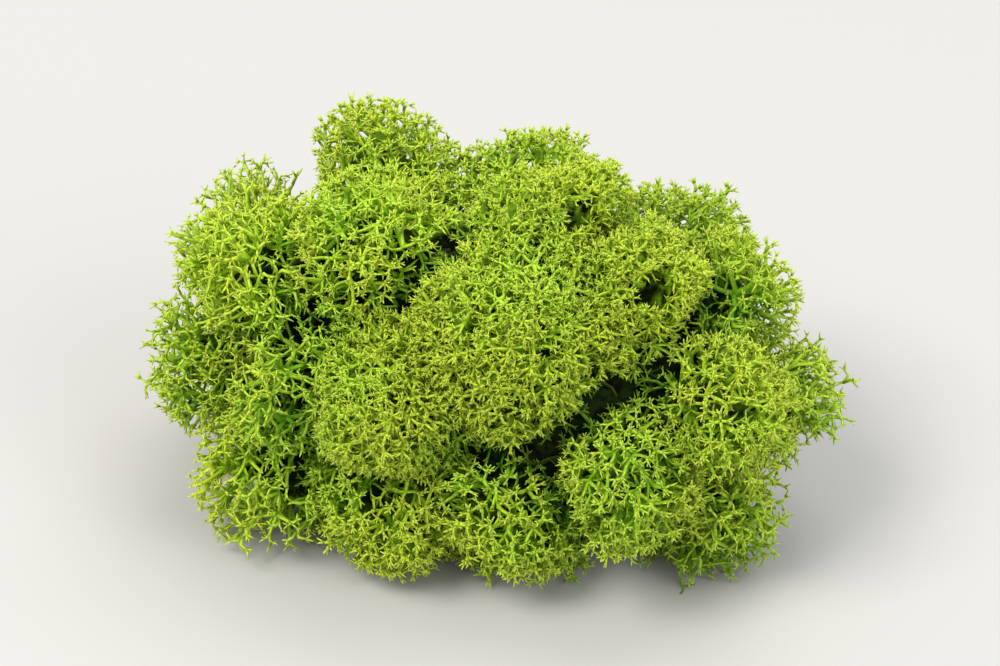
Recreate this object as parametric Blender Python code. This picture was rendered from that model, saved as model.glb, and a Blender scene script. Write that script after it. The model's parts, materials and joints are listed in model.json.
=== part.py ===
"""A picked clump of reindeer moss, a branching lichen, lying on its flattened foot.

The clump is a bunch of round tufts that grew side by side. Each tuft is one body: a heart of crowded old
stems, and forked sprigs that are raised from it all over its open side. A sprig's stem rises out of one
triangle of the heart and forks into three pointed tips round a raised axil. On some sprigs it forks into
three branches first, and each of those ends in three tips of its own.

Tufts share the space between them along flat borders. Whatever would reach over a border is bent clear,
so that neighbours stand close without crossing. +X runs along the clump, -Y is its front and +Z is up.
The origin is the middle of the clump's footprint, on the surface that it rests on.
"""

import math
import random
from dataclasses import dataclass

import bmesh
import bpy
from mathutils import Matrix, Vector
from mathutils.bvhtree import BVHTree

MM = 0.001
SEED = 20

LIME_GREEN = (0.36, 0.58, 0.03, 1.0)
LEAF_GREEN = (0.20, 0.42, 0.03, 1.0)
DEEP_GREEN = (0.08, 0.20, 0.02, 1.0)
MOSS_ROUGHNESS = 0.75

DENSE = 0.1  # shares of a tuft's sprigs that fork twice
LOOSE = 0.3
OPEN = 0.5


@dataclass(frozen=True)
class Tuft:
    """One round tuft: the middle of its ball and the radius out to its tips, in millimetres."""

    name: str
    middle: tuple
    reach: float
    green: tuple
    twice_forked_share: float

    @property
    def centre(self):
        return Vector(self.middle) * MM

    @property
    def radius(self):
        return self.reach * MM


TUFTS = (
    Tuft("crown_tuft", (6, -13, 38), 14.5, LIME_GREEN, DENSE),
    Tuft("top_tuft", (8, 1, 48), 11.0, LIME_GREEN, DENSE),
    Tuft("top_right_tuft", (22, -3, 45), 10.5, LIME_GREEN, DENSE),
    Tuft("top_left_tuft", (-17, -5, 45), 12.5, LIME_GREEN, LOOSE),
    Tuft("left_shoulder_tuft", (-32, -7, 38), 11.5, LIME_GREEN, OPEN),
    Tuft("left_front_tuft", (-24, -19, 28), 10.0, LEAF_GREEN, OPEN),
    Tuft("left_end_tuft", (-38, -6, 22), 11.0, LEAF_GREEN, OPEN),
    Tuft("left_foot_tuft", (-29, -15, 12), 11.5, LIME_GREEN, OPEN),
    Tuft("middle_front_tuft", (-9, -20, 28), 12.0, LIME_GREEN, DENSE),
    Tuft("coarse_front_tuft", (-9, -19, 12), 11.5, LIME_GREEN, LOOSE),
    Tuft("front_foot_tuft", (9, -18, 13), 11.5, LIME_GREEN, LOOSE),
    Tuft("right_front_tuft", (24, -18, 20), 12.0, LEAF_GREEN, LOOSE),
    Tuft("right_foot_tuft", (36, -8, 11), 11.0, LEAF_GREEN, OPEN),
    Tuft("right_side_tuft", (36, -10, 30), 10.5, LEAF_GREEN, LOOSE),
    Tuft("right_shoulder_tuft", (34, 5, 40), 11.0, LEAF_GREEN, LOOSE),
    Tuft("right_end_tuft", (38, 7, 22), 11.5, LEAF_GREEN, OPEN),
    Tuft("back_right_tuft", (23, 17, 35), 13.0, DEEP_GREEN, LOOSE),
    Tuft("back_top_tuft", (3, 15, 43), 13.5, LEAF_GREEN, LOOSE),
    Tuft("back_left_tuft", (-18, 13, 42), 13.0, LEAF_GREEN, LOOSE),
    Tuft("back_shoulder_tuft", (-35, 9, 32), 12.0, LEAF_GREEN, OPEN),
    Tuft("back_end_tuft", (-35, 11, 13), 12.0, DEEP_GREEN, OPEN),
    Tuft("back_foot_left_tuft", (-17, 20, 18), 13.5, DEEP_GREEN, LOOSE),
    Tuft("back_foot_middle_tuft", (5, 20, 17), 13.5, DEEP_GREEN, LOOSE),
    Tuft("back_foot_right_tuft", (24, 18, 13), 12.5, DEEP_GREEN, LOOSE),
)

# The crowded old stems that the tufts share, as an egg shape cut flat where the clump rests.
EGG_MIDDLE = Vector((0, 0, 22 * MM))
EGG_HALF_SIZE = Vector((34 * MM, 16.5 * MM, 24 * MM))
EGG_SUBDIVISIONS = 3
GAP = 0.3 * MM  # air between neighbouring tufts
BORDER_WIDTH = 0.05 * MM
CUT_WIDTH = 1e-7  # metres within which a corner counts as lying on a cut

BASE_SPACING = 4.6 * MM  # between the corners of the sprigs' bases
CORNER_TRIES = 1200
FACING_STEP = 1.0 * MM  # a triangle that faces a border closer than this stays plain

SPRIG_REACH = 6.2 * MM  # from a tuft's heart out to its tips
STEM_LENGTH = 3.3 * MM
TWICE_FORKED_STEM = 1.3  # how much longer the stem of a twice-forked sprig is
BRANCH_LENGTH = 2.8 * MM
TIP_LENGTH = 3.2 * MM
FORK_RADIUS = 0.9 * MM
BRANCH_RADIUS = 0.75 * MM
AXIL_RISE = 0.3  # height of the web in a fork, as a share of the fork's radius
TWIST = math.radians(30)  # of a stem, so that its branches pass beside those of the next one
BRANCH_SPREAD = math.radians(38)
TIP_SPREAD = math.radians(34)
ANGLE_JITTER = math.radians(9)
LENGTH_JITTER = 0.18
OUTWARD_PULL = 0.35  # how strongly a stem points away from its tuft's middle
BEND_TURNS = 12  # passes over the borders that bend a point clear of all of them

THINNING = 0.9  # how much a sprig shrinks each time that it crosses another
SIMPLER_BELOW = {2: 0.75, 1: 0.45}  # the size at which a sprig loses one of its forks


class Cell:
    """The room that belongs to one tuft: flat borders with its neighbours and with the surface below."""

    def __init__(self, tuft):
        self.borders = [(Vector((0, 0, -1)), 0.0)]
        for other in TUFTS:
            if other is tuft:
                continue
            between = other.centre - tuft.centre
            distance = between.length
            normal = between / distance
            along = (distance**2 + tuft.radius**2 - other.radius**2) / (2 * distance)
            self.borders.append((normal, normal.dot(tuft.centre) + along - GAP / 2))

    def overhang(self, point):
        """How far a point lies past the nearest border, negative inside the cell."""
        return max(normal.dot(point) - offset for normal, offset in self.borders)

    def borders_at(self, point):
        """How many borders a point lies on."""
        return sum(normal.dot(point) - offset > -BORDER_WIDTH for normal, offset in self.borders)

    def bend_clear(self, point, margin):
        """The point, moved square to each border that it stands closer to than margin."""
        moved = point.copy()
        for _ in range(BEND_TURNS):
            for normal, offset in self.borders:
                over = normal.dot(moved) - offset + margin
                if over > 0:
                    moved -= normal * over
        return moved


def egg_points(middle, half_size):
    """Points of an egg shape, from Blender's icosphere."""
    ball = bmesh.new()
    place = Matrix.LocRotScale(middle, None, half_size)
    bmesh.ops.create_icosphere(ball, subdivisions=EGG_SUBDIVISIONS, radius=1, matrix=place)
    points = [vert.co.copy() for vert in ball.verts]
    ball.free()
    return points


def hull(points):
    """The closed convex mesh round some points."""
    shape = bmesh.new()
    for point in points:
        shape.verts.new(point)
    bmesh.ops.convex_hull(shape, input=shape.verts)
    loose = [vert for vert in shape.verts if not vert.link_faces]
    bmesh.ops.delete(shape, geom=loose, context="VERTS")
    return shape


def trim(shape, cell):
    """Cuts a convex mesh at the cell's borders, and closes each cut."""
    for normal, offset in cell.borders:
        if all(normal.dot(vert.co) < offset for vert in shape.verts):
            continue
        everything = shape.verts[:] + shape.edges[:] + shape.faces[:]
        bmesh.ops.bisect_plane(
            shape, geom=everything, plane_co=normal * offset, plane_no=normal, clear_outer=True, dist=CUT_WIDTH
        )
        bmesh.ops.holes_fill(shape, edges=[edge for edge in shape.edges if edge.is_boundary])
    return shape


def smooth_heart(tuft, cell):
    """A tuft's share of the egg of old stems, drawn out to a ball inside the tuft."""
    share = trim(hull(egg_points(EGG_MIDDLE, EGG_HALF_SIZE)), cell)
    points = [vert.co.copy() for vert in share.verts]
    share.free()
    ball_radius = tuft.radius - SPRIG_REACH
    points += egg_points(tuft.centre, Vector((ball_radius, ball_radius, ball_radius)))
    heart = trim(hull(points), cell)
    bmesh.ops.triangulate(heart, faces=heart.faces)
    return heart


def random_point(face, draw):
    """An even random point on a triangle."""
    low, high = sorted((draw.random(), draw.random()))
    first, second, third = (vert.co for vert in face.verts)
    return first * low + second * (high - low) + third * (1 - high)


def add_spaced(kept, candidates, spacing):
    """Adds each candidate that stands at least spacing from everything kept so far."""
    for point in candidates:
        if all((point - other).length >= spacing for other in kept):
            kept.append(point)


def base_corners(heart, cell, draw):
    """Well spaced points on a heart: its own corners, then the edges of its borders, then its open side."""
    spots = [vert.co.copy() for vert in heart.verts]
    faces = list(heart.faces)
    areas = [face.calc_area() for face in faces]
    tries = [random_point(face, draw) for face in draw.choices(faces, weights=areas, k=CORNER_TRIES)]
    kept = []
    add_spaced(kept, [spot for spot in spots if cell.borders_at(spot) > 1], BORDER_WIDTH)
    add_spaced(kept, [spot for spot in spots if cell.borders_at(spot) == 1], BASE_SPACING)
    add_spaced(kept, [spot for spot in tries if cell.borders_at(spot) == 0], BASE_SPACING)
    return kept


def coarse_heart(corners):
    """The triangles between the corners. They are found on a ball, where every corner is on the hull."""
    middle = sum(corners, Vector()) / len(corners)
    shape = bmesh.new()
    verts = [shape.verts.new((corner - middle).normalized()) for corner in corners]
    bmesh.ops.convex_hull(shape, input=verts)
    for vert, corner in zip(verts, corners):
        vert.co = corner
    bmesh.ops.recalc_face_normals(shape, faces=shape.faces)
    shape.verts.index_update()
    return shape


def square_to(heading, vector):
    """The direction of the part of a vector that is square to heading."""
    return (vector - heading * vector.dot(heading)).normalized()


def leaning(heading, towards, angle):
    """heading, turned by angle towards a direction that is square to it."""
    return heading * math.cos(angle) + towards * math.sin(angle)


def wall(shape, lower, upper):
    """The sides between two triangles of corners."""
    faces = []
    for k in range(3):
        following = (k + 1) % 3
        faces.append(shape.faces.new((lower[k], lower[following], upper[k])))
        faces.append(shape.faces.new((lower[following], upper[following], upper[k])))
    return faces


def fork(shape, ring, axil_place, centre, heading):
    """The web over a ring: for each arm its three corners, and the way in which it leans."""
    axil = shape.verts.new(axil_place)
    arms = []
    for k in range(3):
        corner, following = ring[k], ring[(k + 1) % 3]
        towards = square_to(heading, (corner.co + following.co) / 2 - centre)
        arms.append(((corner, following, axil), towards))
    return arms


class Sprig:
    """A forked sprig, raised from one triangle of the heart. It draws its random sizes once."""

    def __init__(self, face, tuft, cell, draw):
        self.base = [vert.index for vert in face.verts]
        self.foot = face.calc_center_median()
        outward = (self.foot - tuft.centre).normalized()
        self.heading = (face.normal + outward * OUTWARD_PULL).normalized()
        self.cell = cell
        self.size = 1.0
        self.forks = 2 if draw.random() < tuft.twice_forked_share else 1
        self.length_draws = [1 + draw.uniform(-LENGTH_JITTER, LENGTH_JITTER) for _ in range(13)]
        self.angle_draws = [draw.uniform(-ANGLE_JITTER, ANGLE_JITTER) for _ in range(12)]

    def thin(self):
        """Makes the sprig smaller, and simpler once it is small."""
        self.size *= THINNING
        if self.size < SIMPLER_BELOW[self.forks]:
            self.forks -= 1
            self.size = 1.0

    def raise_from(self, shape, verts):
        """Draws the sprig in a mesh whose first vertices are the heart's corners. Returns its faces."""
        base = [verts[index] for index in self.base]
        if self.forks == 0:
            return [shape.faces.new(base)]
        lengths = iter(self.length_draws)
        angles = iter(self.angle_draws)
        length = STEM_LENGTH * (TWICE_FORKED_STEM if self.forks == 2 else 1)
        top = self.cell.bend_clear(self.foot + self.heading * length * self.size * next(lengths), FORK_RADIUS)
        heading = (top - self.foot).normalized()
        ring = [shape.verts.new(top + self.ring_offset(corner, heading)) for corner in base]
        faces = wall(shape, base, ring)
        if self.forks == 1:
            return faces + self.tips(shape, ring, top, heading, FORK_RADIUS, lengths, angles)
        for arm, towards in self.fork_at(shape, ring, top, heading, FORK_RADIUS):
            way = leaning(heading, towards, BRANCH_SPREAD + next(angles))
            reach = way * BRANCH_LENGTH * self.size * next(lengths)
            joint = self.cell.bend_clear(top + reach, BRANCH_RADIUS)
            end, way = self.branch(shape, arm, joint, towards, faces)
            faces += self.tips(shape, end, joint, way, BRANCH_RADIUS, lengths, angles)
        return faces

    def ring_offset(self, corner, heading):
        """Where the stem's end stands from its middle, over a corner of the base."""
        straight = square_to(heading, corner.co - self.foot)
        turned = straight * math.cos(TWIST) + heading.cross(straight) * math.sin(TWIST)
        return turned * FORK_RADIUS * self.size

    def fork_at(self, shape, ring, centre, heading, radius):
        """The fork over a ring, with its axil raised in proportion to the sprig."""
        axil_place = centre + heading * radius * AXIL_RISE * self.size
        return fork(shape, ring, axil_place, centre, heading)

    def branch(self, shape, arm, joint, towards, faces):
        """A three-sided branch raised from one arm of a fork to the joint. Returns its end and heading."""
        middle = (arm[0].co + arm[1].co + arm[2].co) / 3
        heading = (joint - middle).normalized()
        outward = square_to(heading, towards)
        aside = heading.cross(outward)
        turn = math.radians(60) if (arm[1].co - arm[0].co).dot(aside) > 0 else math.radians(-60)
        end = []
        for angle in (-turn, turn, math.pi):
            offset = outward * math.cos(angle) + aside * math.sin(angle)
            end.append(shape.verts.new(joint + offset * BRANCH_RADIUS * self.size))
        faces += wall(shape, arm, end)
        return end, heading

    def tips(self, shape, ring, centre, heading, radius, lengths, angles):
        """Three pointed tips round an axil. Returns their faces."""
        faces = []
        for arm, towards in self.fork_at(shape, ring, centre, heading, radius):
            way = leaning(heading, towards, TIP_SPREAD + next(angles))
            reach = way * TIP_LENGTH * self.size * next(lengths)
            point = shape.verts.new(self.cell.bend_clear(centre + reach, GAP))
            for k in range(3):
                faces.append(shape.faces.new((arm[k], arm[(k + 1) % 3], point)))
        return faces


def crossing_sprigs(shape, owners):
    """The sprigs with a face that cuts another face of the tuft without sharing a corner with it."""
    shape.faces.ensure_lookup_table()
    tree = BVHTree.FromBMesh(shape)
    found = set()
    for first, second in tree.overlap(tree):
        if set(shape.faces[first].verts) & set(shape.faces[second].verts):
            continue
        found.update(owner for owner in (owners[first], owners[second]) if owner and owner.forks)
    return found


def raise_sprigs(corners, plain, sprigs):
    """The closed surface of the plain triangles and the sprigs, and the sprigs in it that cross others."""
    shape = bmesh.new()
    verts = [shape.verts.new(corner) for corner in corners]
    owners = []
    for triangle in plain:
        shape.faces.new([verts[index] for index in triangle])
        owners.append(None)
    for sprig in sprigs:
        owners += [sprig] * len(sprig.raise_from(shape, verts))
    shape.faces.index_update()
    return shape, crossing_sprigs(shape, owners)


def tuft_shape(tuft, draw):
    """A tuft's whole surface: plain triangles along its borders, and sprigs over its open side."""
    cell = Cell(tuft)
    smooth = smooth_heart(tuft, cell)
    heart = coarse_heart(base_corners(smooth, cell, draw))
    smooth.free()
    corners = [vert.co.copy() for vert in heart.verts]
    plain, sprigs = [], []
    for face in heart.faces:
        facing = face.calc_center_median() + face.normal * FACING_STEP
        if cell.overhang(facing) > 0:
            plain.append([vert.index for vert in face.verts])
        else:
            sprigs.append(Sprig(face, tuft, cell, draw))
    heart.free()
    shape, crossed = raise_sprigs(corners, plain, sprigs)
    while crossed:
        shape.free()
        for sprig in crossed:
            sprig.thin()
        shape, crossed = raise_sprigs(corners, plain, sprigs)
    bmesh.ops.recalc_face_normals(shape, faces=shape.faces)
    return shape


def moss_material(tuft):
    material = bpy.data.materials.new(tuft.name)
    material.use_nodes = True
    shader = material.node_tree.nodes["Principled BSDF"]
    shader.inputs["Base Color"].default_value = tuft.green
    shader.inputs["Roughness"].default_value = MOSS_ROUGHNESS
    shader.inputs["Metallic"].default_value = 0.0
    return material


def tuft_object(tuft, clump, draw):
    """The tuft as an object that stands at its own middle, as a child of the clump."""
    shape = tuft_shape(tuft, draw)
    bmesh.ops.translate(shape, verts=shape.verts, vec=-tuft.centre)
    mesh = bpy.data.meshes.new(tuft.name)
    shape.to_mesh(mesh)
    shape.free()
    mesh.materials.append(moss_material(tuft))
    obj = bpy.data.objects.new(tuft.name, mesh)
    obj.parent = clump
    obj.location = tuft.centre
    bpy.context.scene.collection.objects.link(obj)
    return obj


def stand_on_origin(clump, objects):
    """Moves the clump so that the middle of its footprint is the origin."""
    corners = [obj.location + vert.co for obj in objects for vert in obj.data.vertices]
    middle_x = (min(corner.x for corner in corners) + max(corner.x for corner in corners)) / 2
    middle_y = (min(corner.y for corner in corners) + max(corner.y for corner in corners)) / 2
    clump.location = Vector((-middle_x, -middle_y, -min(corner.z for corner in corners)))


def main():
    for obj in list(bpy.data.objects):
        bpy.data.objects.remove(obj, do_unlink=True)
    clump = bpy.data.objects.new("moss_clump", None)
    bpy.context.scene.collection.objects.link(clump)
    draw = random.Random(SEED)
    stand_on_origin(clump, [tuft_object(tuft, clump, draw) for tuft in TUFTS])


main()
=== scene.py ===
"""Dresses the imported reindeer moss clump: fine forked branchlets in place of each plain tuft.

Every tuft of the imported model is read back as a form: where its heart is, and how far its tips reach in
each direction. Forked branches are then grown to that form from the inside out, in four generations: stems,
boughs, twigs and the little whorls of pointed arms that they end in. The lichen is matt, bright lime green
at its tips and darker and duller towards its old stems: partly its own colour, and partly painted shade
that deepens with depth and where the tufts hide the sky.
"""

import json
import logging
import math
from dataclasses import dataclass, field
from enum import Enum

import bmesh
import bpy
import numpy as np
from mathutils import Matrix, Quaternion, Vector, noise

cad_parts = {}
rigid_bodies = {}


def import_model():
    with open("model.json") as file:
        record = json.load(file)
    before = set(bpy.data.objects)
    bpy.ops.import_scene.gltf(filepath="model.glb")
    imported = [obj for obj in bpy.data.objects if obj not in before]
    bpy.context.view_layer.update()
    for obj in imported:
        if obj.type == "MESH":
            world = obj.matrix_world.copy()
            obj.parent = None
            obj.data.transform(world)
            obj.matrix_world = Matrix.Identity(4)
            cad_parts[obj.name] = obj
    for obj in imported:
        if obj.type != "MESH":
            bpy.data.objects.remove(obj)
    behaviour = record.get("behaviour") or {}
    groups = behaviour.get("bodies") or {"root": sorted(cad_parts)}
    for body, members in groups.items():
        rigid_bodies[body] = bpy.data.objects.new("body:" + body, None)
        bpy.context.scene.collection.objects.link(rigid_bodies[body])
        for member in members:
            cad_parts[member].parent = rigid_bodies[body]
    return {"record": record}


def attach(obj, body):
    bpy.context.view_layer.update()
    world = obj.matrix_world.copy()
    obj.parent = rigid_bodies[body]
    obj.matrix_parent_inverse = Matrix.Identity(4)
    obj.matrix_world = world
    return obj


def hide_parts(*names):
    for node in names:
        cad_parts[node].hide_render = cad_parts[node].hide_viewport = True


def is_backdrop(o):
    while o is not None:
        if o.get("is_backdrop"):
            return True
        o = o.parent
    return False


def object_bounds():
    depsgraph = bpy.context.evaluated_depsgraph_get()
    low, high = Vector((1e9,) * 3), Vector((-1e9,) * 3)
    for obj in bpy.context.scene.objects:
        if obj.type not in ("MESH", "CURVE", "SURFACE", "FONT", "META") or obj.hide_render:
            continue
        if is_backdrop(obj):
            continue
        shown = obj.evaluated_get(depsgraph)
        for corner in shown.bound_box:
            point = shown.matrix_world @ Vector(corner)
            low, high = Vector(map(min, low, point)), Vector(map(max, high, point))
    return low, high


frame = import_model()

MM = 0.001
FLOOR_CLEARANCE = 0.7 * MM
log = logging.getLogger("moss_clump")


class Habit(Enum):
    """How closely a tuft's branches stand."""

    DENSE = "dense"
    LOOSE = "loose"
    OPEN = "open"


@dataclass(frozen=True)
class BranchSizes:
    """The sizes of one habit's branches, in metres.

    The spacings are the distances between sprigs, between the forks that carry twigs and between the forks
    that carry boughs. The depths are how far below the tips these stand. The inner sprigs stand deeper. The
    tone falls by so much for each metre of depth, as painted shade. The pits are where the growth is thin:
    the lower their limit, the more there are. A share of the sprigs strays above the others. The heart is the
    mass of crowded old stems in the middle, with its depth, its tone and how finely its surface is divided;
    its tone is painted shade, dark where it shows through open growth.
    """

    sprig_spacing: float
    twig_spacing: float
    bough_spacing: float
    inner_spacing: float
    sprig_depth: float
    twig_depth: float
    bough_depth: float
    inner_depth: tuple[float, float]
    sprig_length: float
    depth_jitter: float
    lump_height: float
    depth_shade_fall: float
    pit_limit: float
    stray_share: float
    stray_rise: tuple[float, float]
    heart_depth: float
    heart_tone: float
    heart_divisions: int


HABITS: dict[Habit, BranchSizes] = {
    Habit.DENSE: BranchSizes(
        sprig_spacing=1.38 * MM, twig_spacing=2.6 * MM, bough_spacing=5.4 * MM, inner_spacing=1.2 * MM,
        sprig_depth=1.3 * MM, twig_depth=3.1 * MM, bough_depth=6.2 * MM, inner_depth=(1.5 * MM, 4.3 * MM),
        sprig_length=1.7 * MM, depth_jitter=0.3 * MM, lump_height=2.0 * MM, depth_shade_fall=0.045 / MM,
        pit_limit=0.5, stray_share=0.02, stray_rise=(0.5 * MM, 1.1 * MM),
        heart_depth=4.8 * MM, heart_tone=1.0, heart_divisions=4,
    ),
    Habit.LOOSE: BranchSizes(
        sprig_spacing=1.8 * MM, twig_spacing=3.0 * MM, bough_spacing=6.2 * MM, inner_spacing=1.9 * MM,
        sprig_depth=1.6 * MM, twig_depth=3.6 * MM, bough_depth=7.2 * MM, inner_depth=(2.5 * MM, 5.8 * MM),
        sprig_length=2.1 * MM, depth_jitter=0.6 * MM, lump_height=2.5 * MM, depth_shade_fall=0.075 / MM,
        pit_limit=0.27, stray_share=0.06, stray_rise=(0.6 * MM, 1.5 * MM),
        heart_depth=6.6 * MM, heart_tone=0.25, heart_divisions=3,
    ),
    Habit.OPEN: BranchSizes(
        sprig_spacing=2.1 * MM, twig_spacing=3.5 * MM, bough_spacing=7.0 * MM, inner_spacing=2.1 * MM,
        sprig_depth=1.8 * MM, twig_depth=4.2 * MM, bough_depth=8.2 * MM, inner_depth=(3.2 * MM, 7.2 * MM),
        sprig_length=2.6 * MM, depth_jitter=0.95 * MM, lump_height=2.7 * MM, depth_shade_fall=0.065 / MM,
        pit_limit=0.22, stray_share=0.09, stray_rise=(0.8 * MM, 2.1 * MM),
        heart_depth=7.8 * MM, heart_tone=0.1, heart_divisions=3,
    ),
}

TUFT_HABITS: dict[str, Habit] = {
    "crown_tuft": Habit.DENSE,
    "top_tuft": Habit.DENSE,
    "top_right_tuft": Habit.DENSE,
    "middle_front_tuft": Habit.DENSE,
    "left_shoulder_tuft": Habit.OPEN,
    "left_front_tuft": Habit.OPEN,
    "left_end_tuft": Habit.OPEN,
    "left_foot_tuft": Habit.OPEN,
    "right_foot_tuft": Habit.OPEN,
    "right_end_tuft": Habit.OPEN,
    "back_shoulder_tuft": Habit.OPEN,
    "back_end_tuft": Habit.OPEN,
}

DEEP_VALLEYS: frozenset[frozenset[str]] = frozenset(map(frozenset, (
    ("crown_tuft", "top_left_tuft"),
    ("crown_tuft", "right_shoulder_tuft"),
    ("crown_tuft", "right_side_tuft"),
    ("crown_tuft", "right_front_tuft"),
    ("crown_tuft", "front_foot_tuft"),
    ("top_right_tuft", "right_shoulder_tuft"),
    ("top_left_tuft", "left_front_tuft"),
    ("right_front_tuft", "front_foot_tuft"),
    ("left_front_tuft", "left_foot_tuft"),
    ("back_top_tuft", "back_right_tuft"),
    ("back_left_tuft", "back_foot_left_tuft"),
    ("back_foot_middle_tuft", "back_foot_right_tuft"),
)))

THIN_SIDES: dict[str, tuple[float, float, float]] = {
    "crown_tuft": (0.78, -0.45, -0.43),
    "top_tuft": (-0.75, -0.45, 0.28),
    "right_shoulder_tuft": (0.4, -0.48, 0.48),
    "left_front_tuft": (-0.45, -0.45, -0.4),
    "left_foot_tuft": (0.15, -0.62, -0.4),
    "back_right_tuft": (0.25, 0.64, 0.4),
}


@dataclass(frozen=True)
class SprigShape:
    """The proportions of one kind of sprig, as shares of its length, with its angles in radians.

    A blunt sprig's teeth keep some thickness at their ends, and its arms have a knee.
    """

    arms: tuple[int, int]
    teeth: tuple[int, int]
    arm_share: tuple[float, float]
    tooth_share: tuple[float, float]
    arm_lean: tuple[float, float]
    tooth_lean: tuple[float, float]
    thickness: float
    blunt: bool


FINE_SPRIG = SprigShape(
    arms=(3, 4), teeth=(2, 3), arm_share=(0.42, 0.74), tooth_share=(0.25, 0.4),
    arm_lean=(math.radians(15), math.radians(68)), tooth_lean=(math.radians(26), math.radians(58)),
    thickness=0.122, blunt=False,
)
CLOSE_SPRIG = SprigShape(
    arms=(3, 4), teeth=(2, 3), arm_share=(0.42, 0.68), tooth_share=(0.24, 0.42),
    arm_lean=(math.radians(18), math.radians(62)), tooth_lean=(math.radians(24), math.radians(52)),
    thickness=0.098, blunt=True,
)
WIDE_SPRIG = SprigShape(
    arms=(2, 3), teeth=(2, 3), arm_share=(0.45, 0.78), tooth_share=(0.2, 0.4),
    arm_lean=(math.radians(22), math.radians(68)), tooth_lean=(math.radians(28), math.radians(60)),
    thickness=0.085, blunt=True,
)
PLAIN_SPRIG = SprigShape(
    arms=(2, 4), teeth=(1, 2), arm_share=(0.5, 0.85), tooth_share=(0.3, 0.5),
    arm_lean=(math.radians(25), math.radians(85)), tooth_lean=(math.radians(30), math.radians(60)),
    thickness=0.1, blunt=False,
)

SPRIG_KINDS: dict[Habit, int] = {Habit.DENSE: 0, Habit.LOOSE: 1, Habit.OPEN: 2}
INNER_SPRIG_KIND = 3
SPRIG_SHAPES: tuple[tuple[SprigShape, int], ...] = (
    (FINE_SPRIG, 14), (CLOSE_SPRIG, 12), (WIDE_SPRIG, 12), (PLAIN_SPRIG, 10),
)


def unit(vectors: np.ndarray) -> np.ndarray:
    """Vectors scaled to length 1, along the last axis."""
    return vectors / np.maximum(np.linalg.norm(vectors, axis=-1, keepdims=True), 1e-12)


def ball(divisions: int) -> tuple[np.ndarray, list[tuple[int, ...]]]:
    """The corners and the faces of a ball of radius 1.

    Args:
        divisions: How finely it is divided.

    Returns:
        The corners, one a row, and the corner numbers of each triangle.
    """
    mesh = bmesh.new()
    bmesh.ops.create_icosphere(mesh, subdivisions=divisions, radius=1)
    mesh.verts.index_update()
    corners = np.array([vert.co for vert in mesh.verts])
    faces = [tuple(vert.index for vert in face.verts) for face in mesh.faces]
    mesh.free()
    return corners, faces


def set_floats(mesh: bpy.types.Mesh, name: str, values: np.ndarray) -> None:
    """Writes one number for each vertex into a named attribute."""
    attribute = mesh.attributes.new(name, "FLOAT", "POINT")
    attribute.data.foreach_set("value", values.astype(np.float32))


def linked(name: str, data: bpy.types.ID) -> bpy.types.Object:
    """A new object in the scene.

    Args:
        name: Its name.
        data: Its mesh, light or camera.

    Returns:
        The object, at the origin.
    """
    obj = bpy.data.objects.new(name, data)
    bpy.context.scene.collection.objects.link(obj)
    return obj


def bearing(azimuth: float, elevation: float) -> Vector:
    """The direction at an azimuth, 0 at the front and 90 on the right, and an elevation, in degrees."""
    a, e = math.radians(azimuth), math.radians(elevation)
    return Vector((math.sin(a) * math.cos(e), -math.cos(a) * math.cos(e), math.sin(e)))


def count_triangles(piece: bpy.types.Object) -> int:
    """Counts a piece's triangles, and notes them in the log.

    Args:
        piece: The piece.

    Returns:
        How many triangles it has.
    """
    count = sum(len(face.vertices) - 2 for face in piece.data.polygons)
    log.info("%s: %d triangles", piece.name, count)
    return count


@dataclass
class TuftForm:
    """The form of one packed tuft, seen from its heart.

    Args:
        node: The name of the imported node.
    """

    SAME_PLACE = 0.01 * MM
    TIP_FACES = 3

    node: str
    near_angle: float = math.radians(15)
    smoothing: float = 22.0
    heart: np.ndarray = field(init=False)
    tip_ways: np.ndarray = field(init=False)
    tip_reaches: np.ndarray = field(init=False)

    def __post_init__(self) -> None:
        """Reads the heart and the tips from the node's triangles."""
        mesh = bpy.data.objects[self.node].data
        mesh.calc_loop_triangles()
        corners = np.empty(len(mesh.vertices) * 3)
        mesh.vertices.foreach_get("co", corners)
        corners = corners.reshape(-1, 3)
        order = np.empty(len(mesh.loop_triangles) * 3, dtype=np.int64)
        mesh.loop_triangles.foreach_get("vertices", order)
        triangles = corners[order].reshape(-1, 3, 3)
        # Each triangle spans a tetrahedron with the origin, and its centre lies at 3/4 of the way out.
        volumes = np.einsum("ij,ij->i", triangles[:, 0], np.cross(triangles[:, 1], triangles[:, 2])) / 6
        self.heart = (triangles.mean(axis=1) * 0.75 * volumes[:, None]).sum(axis=0) / volumes.sum()
        keys = np.round(triangles.reshape(-1, 3) / self.SAME_PLACE).astype(np.int64)
        _, first, uses = np.unique(keys, axis=0, return_index=True, return_counts=True)
        tips = triangles.reshape(-1, 3)[first[uses == self.TIP_FACES]]
        self.tip_ways = unit(tips - self.heart)
        self.tip_reaches = np.linalg.norm(tips - self.heart, axis=1)

    def reach(self, ways: np.ndarray) -> np.ndarray:
        """How far the tips reach along some directions.

        Args:
            ways: Directions of length 1, one a row.

        Returns:
            The reaches in metres.
        """
        weights = np.exp(self.smoothing * (ways @ self.tip_ways.T - 1))
        return weights @ self.tip_reaches / weights.sum(axis=1)

    def is_open(self, ways: np.ndarray) -> np.ndarray:
        """Which directions point to the tuft's open side, where it has tips."""
        return (ways @ self.tip_ways.T).max(axis=1) > math.cos(self.near_angle)


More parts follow.
